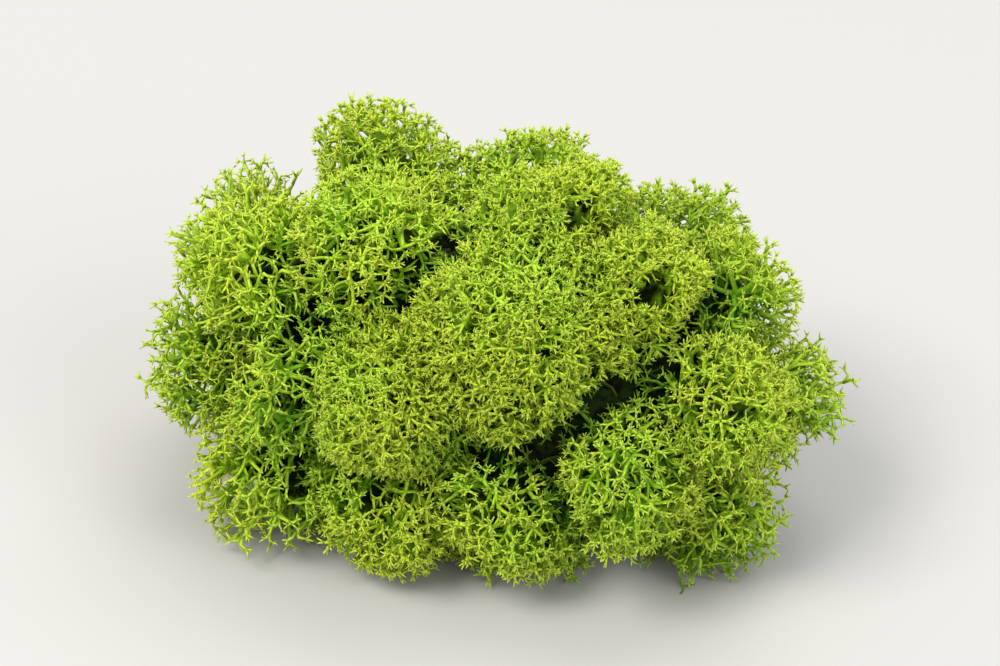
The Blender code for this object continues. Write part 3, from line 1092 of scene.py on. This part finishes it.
class BranchletTree:
    """Geometry nodes that turn a tuft's bent lines into round branches, and its buds into forked sprigs.

    The skeleton's flags are told apart halfway: bud and heart are 0 or 1, and bough is 1 at stems, 0 at
    twigs and -1 at the heart.
    """

    HALFWAY = 0.5
    BOUGH_SIDES = 5
    TWIG_SIDES = 3
    TIP_TONE = 0.22
    HELPERS = ("thickness", "bough", "bud", "variant", "heart", "heading", "tip_share")

    def __init__(self) -> None:
        """Builds the tree."""
        self.tree = bpy.data.node_groups.new("branchlets", "GeometryNodeTree")
        self.inputs: dict[str, bpy.types.NodeTreeInterfaceItem] = {}
        for name, kind, value in (
            ("Geometry", "NodeSocketGeometry", None),
            ("Sprigs", "NodeSocketCollection", None),
            ("Sprig Length", "NodeSocketFloat", 2.0 * MM),
            ("Smallest Sprig", "NodeSocketFloat", 0.75),
            ("Largest Sprig", "NodeSocketFloat", 1.25),
            ("Wobble", "NodeSocketFloat", 0.9 * MM),
            ("Wobble Scale", "NodeSocketFloat", 420.0),
            ("Pressed Height", "NodeSocketFloat", 0.5 * MM),
            ("Seed", "NodeSocketInt", 0),
            ("Material", "NodeSocketMaterial", None),
            ("Heart Material", "NodeSocketMaterial", None),
        ):
            item = self.tree.interface.new_socket(name, in_out="INPUT", socket_type=kind)
            if value is not None:
                item.default_value = value
            self.inputs[name] = item
        self.tree.interface.new_socket("Geometry", in_out="OUTPUT", socket_type="NodeSocketGeometry")
        self.write = TreeWriter(self.tree)
        self.given = self.write.add("NodeGroupInput").outputs
        self.finish_tree()

    def named(self, name: str, kind: str = "FLOAT") -> bpy.types.NodeSocket:
        """The value of a named attribute."""
        return self.write.add("GeometryNodeInputNamedAttribute", {"Name": name}, data_type=kind).outputs[0]

    def random(self, low: float | bpy.types.NodeSocket, high: float | bpy.types.NodeSocket,
               salt: int) -> bpy.types.NodeSocket:
        """A random number for each element, fixed by the tuft's seed and a salt.

        Args:
            low: The least number.
            high: The largest number.
            salt: Tells the draws of one tuft apart.

        Returns:
            The random number.
        """
        seed = self.write.math("ADD", self.given["Seed"], float(salt))
        # The node's sockets for plain numbers are its inputs 2 and 3 and its output 1.
        node = self.write.add("FunctionNodeRandomValue", {2: low, 3: high, "Seed": seed})
        return node.outputs[1]

    def euler(self, axis: str, angle: bpy.types.NodeSocket) -> bpy.types.NodeSocket:
        """A rotation by an angle about one of its own axes."""
        vector = self.write.add("ShaderNodeCombineXYZ", {axis: angle})
        return self.write.add("FunctionNodeEulerToRotation", {0: vector.outputs[0]}).outputs[0]

    def wandering(self) -> bpy.types.NodeSocket:
        """Moves the bent lines and the buds a little to and fro together, so that nothing runs straight.

        Returns:
            The moved skeleton.
        """
        add = self.write.add
        texture = add("ShaderNodeTexNoise", {"Scale": self.given["Wobble Scale"], "Detail": 1.0},
                      noise_dimensions="3D")
        centred = add("ShaderNodeVectorMath", {0: texture.outputs["Color"], 1: (0.5, 0.5, 0.5)},
                      operation="SUBTRACT")
        offset = add("ShaderNodeVectorMath", {0: centred.outputs[0], "Scale": self.given["Wobble"]},
                     operation="SCALE")
        moved = add("GeometryNodeSetPosition",
                    {"Geometry": self.given["Geometry"], "Offset": offset.outputs[0]})
        return moved.outputs[0]

    def lines(self, geometry: bpy.types.NodeSocket, sides: int,
              selection: bpy.types.NodeSocket) -> bpy.types.NodeSocket:
        """Some of the bent lines as round branches.

        Args:
            geometry: The bent lines.
            sides: How many sides the branches have.
            selection: Which lines are taken.

        Returns:
            The branches as closed tubes.
        """
        add = self.write.add
        curve = add("GeometryNodeMeshToCurve", {"Mesh": geometry, "Selection": selection})
        ring = add("GeometryNodeCurvePrimitiveCircle", {"Resolution": sides, "Radius": 1.0})
        tube = add("GeometryNodeCurveToMesh", {
            "Curve": curve.outputs[0], "Profile Curve": ring.outputs[0],
            "Scale": self.named("thickness"), "Fill Caps": True,
        })
        return tube.outputs[0]

    def sprigs(self, geometry: bpy.types.NodeSocket) -> bpy.types.NodeSocket:
        """A sprig at each bud, pointed the way the bud heads and turned round it at random.

        Args:
            geometry: The skeleton with the buds.

        Returns:
            The sprigs as plain geometry.
        """
        add = self.write.add
        buds = add("GeometryNodeMeshToPoints", {
            "Mesh": geometry, "Selection": self.write.math("GREATER_THAN", self.named("bud"), self.HALFWAY),
        })
        choice = add("GeometryNodeCollectionInfo",
                     {"Collection": self.given["Sprigs"], "Separate Children": True, "Reset Children": True})
        upright = add("FunctionNodeAlignRotationToVector", {"Vector": self.named("heading", "FLOAT_VECTOR")},
                      axis="Z")
        turned = add("FunctionNodeRotateRotation", {
            "Rotation": upright.outputs[0],
            "Rotate By": self.euler("Z", self.random(0.0, math.tau, 1)),
        }, rotation_space="LOCAL")
        share = self.random(self.given["Smallest Sprig"], self.given["Largest Sprig"], 2)
        placed = add("GeometryNodeInstanceOnPoints", {
            "Points": buds.outputs[0], "Instance": choice.outputs[0], "Pick Instance": True,
            "Instance Index": self.named("variant"), "Rotation": turned.outputs[0],
            "Scale": self.write.math("MULTIPLY", self.given["Sprig Length"], share),
        })
        return add("GeometryNodeRealizeInstances", {"Geometry": placed.outputs[0]}).outputs[0]

    def pressed(self, geometry: bpy.types.NodeSocket) -> bpy.types.NodeSocket:
        """What would pass through the floor, pressed flat just above it.

        Args:
            geometry: Everything that has grown.

        Returns:
            The same geometry, resting.
        """
        add, math_node = self.write.add, self.write.math
        place = add("GeometryNodeInputPosition").outputs[0]
        height = add("ShaderNodeSeparateXYZ", {0: place}).outputs["Z"]
        limit = self.given["Pressed Height"]
        below = math_node("MINIMUM", math_node("SUBTRACT", height, limit), 0.0)
        power = math_node("EXPONENT", math_node("DIVIDE", below, limit))
        rise = math_node("SUBTRACT", math_node("MULTIPLY", power, limit), height)
        rise = math_node("MULTIPLY", rise, math_node("LESS_THAN", height, limit))
        offset = add("ShaderNodeCombineXYZ", {"Z": rise})
        return add("GeometryNodeSetPosition", {"Geometry": geometry, "Offset": offset.outputs[0]}).outputs[0]

    def finish_tree(self) -> None:
        """Joins the branches and the sprigs, and gives them their tone, smooth shading and finish."""
        add = self.write.add
        skeleton = self.wandering()
        joined = add("GeometryNodeJoinGeometry")
        bough = self.named("bough")
        boughs = self.lines(skeleton, self.BOUGH_SIDES, self.write.math("GREATER_THAN", bough, self.HALFWAY))
        twigs = self.lines(skeleton, self.TWIG_SIDES, self.write.math("COMPARE", bough, 0.0, self.HALFWAY))
        heart = add("GeometryNodeDeleteGeometry", {
            "Geometry": skeleton,
            "Selection": self.write.math("LESS_THAN", self.named("heart"), self.HALFWAY),
        }, domain="POINT")
        self.tree.links.new(boughs, joined.inputs[0])
        self.tree.links.new(twigs, joined.inputs[0])
        self.tree.links.new(self.sprigs(skeleton), joined.inputs[0])
        self.tree.links.new(heart.outputs[0], joined.inputs[0])
        resting = self.pressed(joined.outputs[0])
        tone = self.write.math("MULTIPLY_ADD", self.named("tip_share"), self.TIP_TONE, self.named("tone"))
        toned = add("GeometryNodeStoreNamedAttribute", {"Geometry": resting, "Name": "tone", "Value": tone})
        smooth = add("GeometryNodeSetShadeSmooth", {"Geometry": toned.outputs[0], "Shade Smooth": True})
        real = add("GeometryNodeRealizeInstances", {"Geometry": smooth.outputs[0]})
        dressed = add("GeometryNodeSetMaterial",
                      {"Geometry": real.outputs[0], "Material": self.given["Material"]})
        inside = self.write.math("GREATER_THAN", self.named("heart"), self.HALFWAY)
        filled = add("GeometryNodeSetMaterial", {
            "Geometry": dressed.outputs[0], "Selection": inside, "Material": self.given["Heart Material"],
        })
        add("NodeGroupOutput", {"Geometry": filled.outputs[0]})

    def apply(self, obj: bpy.types.Object, values: dict) -> bpy.types.Object:
        """Runs the tree on an object.

        Args:
            obj: The object with the bent lines. It is removed.
            values: A value for each named input that differs from its default.

        Returns:
            A new object of the same name, with the result as a plain mesh.
        """
        name = obj.name
        modifier = obj.modifiers.new("branchlets", "NODES")
        modifier.node_group = self.tree
        for key, value in values.items():
            modifier[self.inputs[key].identifier] = value
        graph = bpy.context.evaluated_depsgraph_get()
        mesh = bpy.data.meshes.new_from_object(
            obj.evaluated_get(graph), preserve_all_data_layers=True, depsgraph=graph
        )
        skeleton = obj.data
        bpy.data.objects.remove(obj)
        bpy.data.meshes.remove(skeleton)
        mesh.name = name
        for helper in self.HELPERS:
            if helper in mesh.attributes:
                mesh.attributes.remove(mesh.attributes[helper])
        while mesh.materials and mesh.materials[-1] is None:
            mesh.materials.pop()
        return linked(name, mesh)


class ShaderGroup:
    """A group of shader nodes with named inputs and outputs, built once and placed in several materials."""

    def __init__(self, name: str, inputs: dict[str, float | tuple], outputs: dict[str, str]) -> None:
        """Makes the empty group.

        Args:
            name: Its name.
            inputs: The starting value of each input: a number, or a colour.
            outputs: The socket kind of each output.
        """
        self.tree = bpy.data.node_groups.new(name, "ShaderNodeTree")
        for label, value in inputs.items():
            kind = "NodeSocketColor" if isinstance(value, tuple) else "NodeSocketFloat"
            item = self.tree.interface.new_socket(label, in_out="INPUT", socket_type=kind)
            item.default_value = value
        for label, kind in outputs.items():
            self.tree.interface.new_socket(label, in_out="OUTPUT", socket_type=kind)
        self.write = TreeWriter(self.tree)
        self.given = self.write.add("NodeGroupInput").outputs

    def place(self, write: TreeWriter, inputs: dict) -> bpy.types.Node:
        """Places the group in a material and links or sets its inputs."""
        return write.add("ShaderNodeGroup", inputs, node_tree=self.tree)


class FeltGrain(ShaderGroup):
    """The fine felt of the lichen's skin, and the broad patches of lighter and darker growth."""

    def __init__(self) -> None:
        """Builds the group."""
        super().__init__("felt_grain", {"Grain Scale": 2400.0, "Patch Scale": 70.0},
                         {"Grain": "NodeSocketFloat", "Patches": "NodeSocketFloat"})
        place = self.write.add("ShaderNodeTexCoord").outputs["Object"]
        fine = self.write.add("ShaderNodeTexNoise",
                              {"Vector": place, "Scale": self.given["Grain Scale"], "Detail": 3.0})
        broad = self.write.add("ShaderNodeTexNoise",
                               {"Vector": place, "Scale": self.given["Patch Scale"], "Detail": 3.0})
        self.write.add("NodeGroupOutput", {"Grain": fine.outputs["Fac"], "Patches": broad.outputs["Fac"]})


class LichenColour(ShaderGroup):
    """The lichen's colour from old stem to tip, with painted shade where the sky is hidden, patches and
    grain.
    """

    STEM_TONES = (0.05, 0.55)
    TIP_TONES = (0.5, 1.0)
    # The openness where the painted shade begins, and where it is full.
    PAINTED_SHADE_SKIES = (0.75, 0.1)
    NOISE_RANGE = (0.3, 0.7)
    HUES = (0.486, 0.512)
    VALUES = (0.82, 1.16)

    def __init__(self) -> None:
        """Builds the group."""
        green = (0.2, 0.4, 0.03, 1.0)
        super().__init__("lichen_colour", {
            "Stem": green, "Middle": green, "Tip": green, "Shelter": green, "Tone": 0.5, "Sky": 1.0,
            "Grain": 0.5, "Patches": 0.5,
        }, {"Color": "NodeSocketColor"})
        write, given = self.write, self.given
        colour = write.mix(write.smooth_step(given["Tone"], *self.STEM_TONES), given["Stem"], given["Middle"])
        colour = write.mix(write.smooth_step(given["Tone"], *self.TIP_TONES), colour, given["Tip"])
        # Painted shade: the colour is multiplied by the shade colour where little sky is open.
        painted_shade_share = write.smooth_step(given["Sky"], *self.PAINTED_SHADE_SKIES)
        colour = write.mix(painted_shade_share, colour, given["Shelter"], "MULTIPLY")
        hue, value = (write.add("ShaderNodeMapRange", {
            "Value": given[name], "From Min": self.NOISE_RANGE[0], "From Max": self.NOISE_RANGE[1],
            "To Min": low, "To Max": high,
        }) for name, (low, high) in (("Patches", self.HUES), ("Grain", self.VALUES)))
        shifted = write.add("ShaderNodeHueSaturation", {"Hue": hue.outputs[0], "Value": value.outputs[0],
                                                        "Color": colour})
        write.add("NodeGroupOutput", {"Color": shifted.outputs["Color"]})


def new_material(name: str) -> tuple[bpy.types.Material, TreeWriter, bpy.types.Node]:
    """A new material, with the writer of its nodes and its shader.

    Args:
        name: Its name.

    Returns:
        The material, the writer of its nodes and its shader.
    """
    material = bpy.data.materials.new(name)
    material.use_nodes = True
    return material, TreeWriter(material.node_tree), material.node_tree.nodes["Principled BSDF"]


@dataclass(frozen=True)
class MossFinish:
    """A green of the lichen, from its old stems out to its tips, as linear colours.

    The painted shade colour multiplies the others where the tufts hide the sky.
    """

    name: str
    stem: tuple[float, float, float]
    middle: tuple[float, float, float]
    tip: tuple[float, float, float]
    # Painted shade: this colour is multiplied in where little sky is open.
    painted_shade: tuple[float, float, float] = (0.38, 0.56, 0.40)
    grain_scale: float = 2400.0
    patch_scale: float = 70.0
    grain_height: float = 0.05 * MM
    roughness: float = 0.6
    shine: float = 0.18
    glow: float = 0.45
    glow_depth: float = 0.7 * MM
    glow_reach: tuple[float, float, float] = (0.9, 1.0, 0.25)

    def build(self, grain: FeltGrain, colour: LichenColour) -> bpy.types.Material:
        """Builds the material.

        Args:
            grain: The group for felt and patches.
            colour: The group for the lichen's colour.

        Returns:
            The material.
        """
        material, write, shader = new_material(self.name)
        felt = grain.place(write, {"Grain Scale": self.grain_scale, "Patch Scale": self.patch_scale})
        lichen = colour.place(write, {
            "Stem": (*self.stem, 1.0), "Middle": (*self.middle, 1.0), "Tip": (*self.tip, 1.0),
            "Shelter": (*self.painted_shade, 1.0), "Tone": write.attribute("tone"), "Sky": write.attribute("sky"),
            "Grain": felt.outputs["Grain"], "Patches": felt.outputs["Patches"],
        })
        bump = write.add("ShaderNodeBump", {"Height": felt.outputs["Grain"], "Distance": self.grain_height})
        write.fill(shader, {
            "Base Color": lichen.outputs["Color"],
            "Normal": bump.outputs["Normal"],
            "Roughness": self.roughness,
            "Specular IOR Level": self.shine,
            "Subsurface Weight": self.glow,
            "Subsurface Scale": self.glow_depth,
            "Subsurface Radius": self.glow_reach,
        })
        return material


# The dark stem and middle greens are partly the old stems' own colour and partly painted shade of the depth.
BARE_STEM_FINISH = MossFinish("bare_stem", (0.034, 0.060, 0.005), (0.100, 0.155, 0.010), (0.3, 0.34, 0.06))
FINISHES: dict[str, MossFinish] = {
    "moss_lime": MossFinish("lime_moss", (0.055, 0.135, 0.005), (0.280, 0.500, 0.010), (0.445, 0.605, 0.044)),
    "moss_leaf": MossFinish("leaf_moss", (0.045, 0.115, 0.005), (0.215, 0.410, 0.010), (0.400, 0.560, 0.040)),
    "moss_deep": MossFinish("deep_moss", (0.034, 0.095, 0.005), (0.160, 0.330, 0.009), (0.330, 0.500, 0.034)),
}


@dataclass(frozen=True)
class MattedFinish:
    """The old stems where they are too crowded to tell apart, near black to green by tone: the black is
    painted shade.
    """

    name: str = "matted_old_stems"
    # The near black dark and old colours are painted shade of the clump's depth.
    dark: tuple[float, float, float] = (0.003, 0.006, 0.001)
    old: tuple[float, float, float] = (0.014, 0.029, 0.004)
    young: tuple[float, float, float] = (0.25, 0.47, 0.014)
    grain_scale: float = 900.0
    patch_scale: float = 420.0
    gaps: tuple[float, float] = (0.15, 0.34)
    relief: float = 0.6 * MM
    roughness: float = 0.9
    shine: float = 0.1

    def build(self, grain: FeltGrain) -> bpy.types.Material:
        """Builds the material.

        Args:
            grain: The group for felt and patches.

        Returns:
            The material.
        """
        material, write, shader = new_material(self.name)
        felt = grain.place(write, {"Grain Scale": self.grain_scale, "Patch Scale": self.patch_scale})
        both = write.math("MULTIPLY", felt.outputs["Grain"], felt.outputs["Patches"])
        stems = write.mix(write.attribute("tone"), (*self.old, 1.0), (*self.young, 1.0))
        bump = write.add("ShaderNodeBump", {"Height": both, "Distance": self.relief})
        write.fill(shader, {
            # Painted shade: near black in the gaps between the crowded stems.
            "Base Color": write.mix(write.smooth_step(both, *self.gaps), (*self.dark, 1.0), stems),
            "Normal": bump.outputs["Normal"],
            "Roughness": self.roughness,
            "Specular IOR Level": self.shine,
        })
        return material


@dataclass
class OldStems:
    """The mat of old stems deep inside the clump, near black as painted shade, showing through its gaps and
    underneath.

    Above its foot, an ellipse, it reaches down to the surface. The stems strewn over it have one fork each.
    The lump detail is how fast its octaves fade, how much finer each is than the last, and their number.
    """

    forms: list[TuftForm]
    depth: float = 9.6 * MM
    smoothing: float = 60.0
    middle_share: float = 0.42
    lowest: float = FLOOR_CLEARANCE * 2
    steepest: float = 0.2
    lump_height: float = 2.2 * MM
    lump_scale: float = 320.0
    divisions: int = 5
    lump_detail: tuple[float, float, int] = (0.6, 2.0, 4)
    foot: tuple[float, float] = (22 * MM, 12 * MM)
    foot_edge: tuple[float, float] = (1.35, 0.45)
    stems: int = 280
    stems_underneath: int = 170
    stem_length: tuple[float, float] = (4.0 * MM, 10.0 * MM)
    stem_radius: tuple[float, float] = (0.22 * MM, 0.42 * MM)
    stem_rise: tuple[float, float] = (0.1 * MM, 0.9 * MM)
    stem_wobble: float = 3.2 * MM
    stem_wobble_scale: float = 260.0
    stem_steps: int = 4
    stem_tones: tuple[float, float] = (0.05, 0.5)
    # The bare stems' fixed openness, which sets their painted shade.
    stem_skies: tuple[float, float] = (0.4, 0.4)
    stem_lift: float = 0.5
    stem_fall: float = 0.4
    fork_turn: float = 1.2
    fork_share: float = 0.4
    fork_rise: float = 0.3 * MM
    fork_radii: tuple[float, float] = (0.9, 0.6)
    seed: int = 91
    ways: np.ndarray = field(init=False)
    faces: list[tuple[int, ...]] = field(init=False)
    corners: np.ndarray = field(init=False)

    def __post_init__(self) -> None:
        """Works out the mat's surface."""
        tips = np.vstack([form.heart + form.tip_ways * form.tip_reaches[:, None] for form in self.forms])
        low, high = tips.min(axis=0), tips.max(axis=0)
        middle = (low + high) / 2
        middle[2] = high[2] * self.middle_share
        reaches = np.linalg.norm(tips - middle, axis=1)
        self.ways, self.faces = ball(self.divisions)
        weights = np.exp(self.smoothing * (self.ways @ unit(tips - middle).T - 1))
        lengths = weights @ reaches / weights.sum(axis=1) - self.depth
        to_floor = (middle[2] - self.lowest) / np.maximum(-self.ways[:, 2], self.steepest)
        apart = np.linalg.norm(self.ways[:, :2] * to_floor[:, None] / self.foot, axis=1)
        edge, ramp = self.foot_edge
        share = np.clip((edge - apart) / ramp, 0, 1) * (self.ways[:, 2] < 0)
        lengths += np.maximum(to_floor - lengths, 0) * share
        places = self.ways * lengths[:, None]
        lumps = np.array([
            noise.fractal(Vector(place * self.lump_scale), *self.lump_detail) for place in places
        ])
        self.corners = middle + places + self.ways * (lumps * self.lump_height)[:, None]
        self.corners[:, 2] = np.maximum(self.corners[:, 2], self.lowest)

    def build(self, material: bpy.types.Material) -> bpy.types.Object:
        """Builds the mat as a lumpy closed ball that keeps below the branchlets.

        Args:
            material: Its finish.

        Returns:
            The piece.
        """
        mesh = bpy.data.meshes.new("old_stems")
        mesh.from_pydata(self.corners, [], self.faces)
        mesh.shade_smooth()
        mesh.materials.append(material)
        return linked("old_stems", mesh)

    def build_bare_stems(self, tree: BranchletTree, material: bpy.types.Material) -> bpy.types.Object:
        """Strews single old stems over the mat, closer on its flat underside.

        Args:
            tree: The geometry nodes that turn bent lines into branches.
            material: The old stems' finish.

        Returns:
            The piece.
        """
        draw = np.random.default_rng(self.seed)
        under = np.flatnonzero(self.corners[:, 2] < self.lowest + FLOOR_CLEARANCE)
        picked = np.concatenate((draw.integers(len(self.corners), size=self.stems),
                                 draw.choice(under, size=self.stems_underneath)))
        lengths = draw.uniform(*self.stem_length, size=len(picked))
        rises = draw.uniform(*self.stem_rise, size=(len(picked), 2))
        turns = draw.normal(size=(len(picked), 3))
        branches = Branches()
        for corner, length, rise, turn in zip(picked, lengths, rises, turns):
            out = np.array((0.0, 0.0, -1.0)) if corner in under else self.ways[corner]
            along = unit(turn - out * (turn @ out))
            ends = self.corners[corner] + np.outer((-0.5, 0.5), along * length)
            nearest = [np.linalg.norm(self.corners - end, axis=1).argmin() for end in ends]
            start, end = self.corners[nearest] + out * rise[:, None]
            thick = draw.uniform(*self.stem_radius, size=2)
            tones = tuple(draw.uniform(*self.stem_tones, size=2))
            branches.add(start, end, unit(along + out * self.stem_lift), unit(along - out * self.stem_fall),
                         tuple(thick), tones, self.stem_skies, self.stem_steps)
            fork = branches.points[-1][self.stem_steps // 2]
            side = unit(along + np.cross(out, along) * draw.choice((-self.fork_turn, self.fork_turn)))
            branches.add(fork, fork + side * length * self.fork_share + out * self.fork_rise,
                         unit(along + side), side, tuple(thick * self.fork_radii), tones,
                         self.stem_skies, branches.SHORT_STEPS)
        skeleton = Skeleton("bare_stems", branches, thinnest_bough=self.stem_radius[1]).build()
        skeleton.data.materials.append(material)
        values = {"Seed": self.seed, "Material": material, "Wobble": self.stem_wobble,
                  "Wobble Scale": self.stem_wobble_scale}
        return tree.apply(skeleton, values)


@dataclass(frozen=True)
class SoftLight:
    """A square soft light that looks at the clump: angles in degrees, lengths in metres, power in watts."""

    name: str
    azimuth: float
    elevation: float
    distance: float
    size: float
    power: float
    colour: tuple[float, float, float]


@dataclass
class Studio:
    """The floor, the lights and the camera. Its angles are in degrees and its lengths in metres."""

    LIGHTS = (
        SoftLight("key_light", -38, 51, 2.2, 1.0, 48.0, (1.0, 0.97, 0.92)),
        SoftLight("fill_light", 60, 35, 2.4, 1.6, 23.0, (0.96, 0.98, 1.0)),
        SoftLight("top_light", 160, 65, 2.2, 1.4, 20.0, (1.0, 1.0, 1.0)),
    )

    middle: Vector
    floor_size: float = 12.0
    floor_colour: tuple[float, float, float] = (0.45, 0.44, 0.425)
    floor_roughness: float = 0.9
    world_colour: tuple[float, float, float] = (0.97, 0.98, 1.0)
    world_strength: float = 0.76
    camera_azimuth: float = 11.07
    camera_elevation: float = 32.9
    camera_roll: float = 2.26
    camera_distance: float = 0.516
    frame_width: float = 0.142

    def floor(self) -> None:
        """A plain pale floor."""
        mesh = bpy.data.meshes.new("floor")
        half = self.floor_size / 2
        mesh.from_pydata([(-half, -half, 0), (half, -half, 0), (half, half, 0), (-half, half, 0)], [],
                         [(0, 1, 2, 3)])
        material, write, shader = new_material("pale_floor")
        write.fill(shader, {"Base Color": (*self.floor_colour, 1.0), "Roughness": self.floor_roughness})
        mesh.materials.append(material)
        linked("floor", mesh)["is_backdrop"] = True

    def light(self, light: SoftLight) -> None:
        """Sets up one soft light.

        Args:
            light: What it is like and where it stands.
        """
        data = bpy.data.lights.new(light.name, "AREA")
        data.shape = "SQUARE"
        data.size, data.energy, data.color = light.size, light.power, light.colour
        obj = linked(light.name, data)
        out = bearing(light.azimuth, light.elevation)
        obj.location = self.middle + out * light.distance
        obj.rotation_euler = out.to_track_quat("Z", "Y").to_euler()

    def camera(self) -> None:
        """A camera at the photograph's viewing angle and distance."""
        data = bpy.data.cameras.new("camera")
        data.lens = data.sensor_width * self.camera_distance / self.frame_width
        data.clip_start, data.clip_end = 0.01, 20.0
        obj = linked("camera", data)
        out = bearing(self.camera_azimuth, self.camera_elevation)
        roll = Matrix.Rotation(math.radians(self.camera_roll), 4, "Z")
        turn = out.to_track_quat("Z", "Y").to_matrix().to_4x4() @ roll
        obj.matrix_world = Matrix.Translation(self.middle + out * self.camera_distance) @ turn
        bpy.context.scene.camera = obj

    def world(self) -> None:
        """An even light from all round."""
        world = bpy.data.worlds.new("studio")
        world.use_nodes = True
        background = world.node_tree.nodes["Background"]
        background.inputs["Color"].default_value = (*self.world_colour, 1.0)
        background.inputs["Strength"].default_value = self.world_strength
        bpy.context.scene.world = world

    def build(self) -> None:
        """Sets the whole studio up."""
        self.floor()
        for light in self.LIGHTS:
            self.light(light)
        self.camera()
        self.world()
        bpy.context.scene.view_settings.view_transform = "Standard"
        bpy.context.scene.view_settings.look = "None"


def main() -> None:
    """Builds the branchlets, the old stems and the studio, and notes the sizes."""
    logging.basicConfig(level=logging.INFO, format="%(message)s")
    low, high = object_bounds()
    slots = {part["node"]: part["material_slot"] for part in frame["record"]["subparts"]}
    forms = {node: TuftForm(node) for node in slots}
    sky = SkyView(list(forms.values()))
    sprigs = SprigSet(SPRIG_SHAPES)
    grain, colour = FeltGrain(), LichenColour()
    finishes = {slot: finish.build(grain, colour) for slot, finish in FINISHES.items()}
    matted = MattedFinish().build(grain)
    tree = BranchletTree()
    total = 0
    for number, (node, slot) in enumerate(slots.items()):
        piece = Tuft(forms[node], sky, sprigs, seed=number + 1).build(tree, finishes[slot], matted)
        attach(piece, "root")
        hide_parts(node)
        total += count_triangles(piece)
    sprigs.remove()
    mat = OldStems(list(forms.values()))
    for piece in (mat.build(matted), mat.build_bare_stems(tree, BARE_STEM_FINISH.build(grain, colour))):
        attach(piece, "root")
        total += count_triangles(piece)
    log.info("All pieces together: %d triangles", total)
    Studio((low + high) / 2).build()


if __name__ == "__main__":
    main()
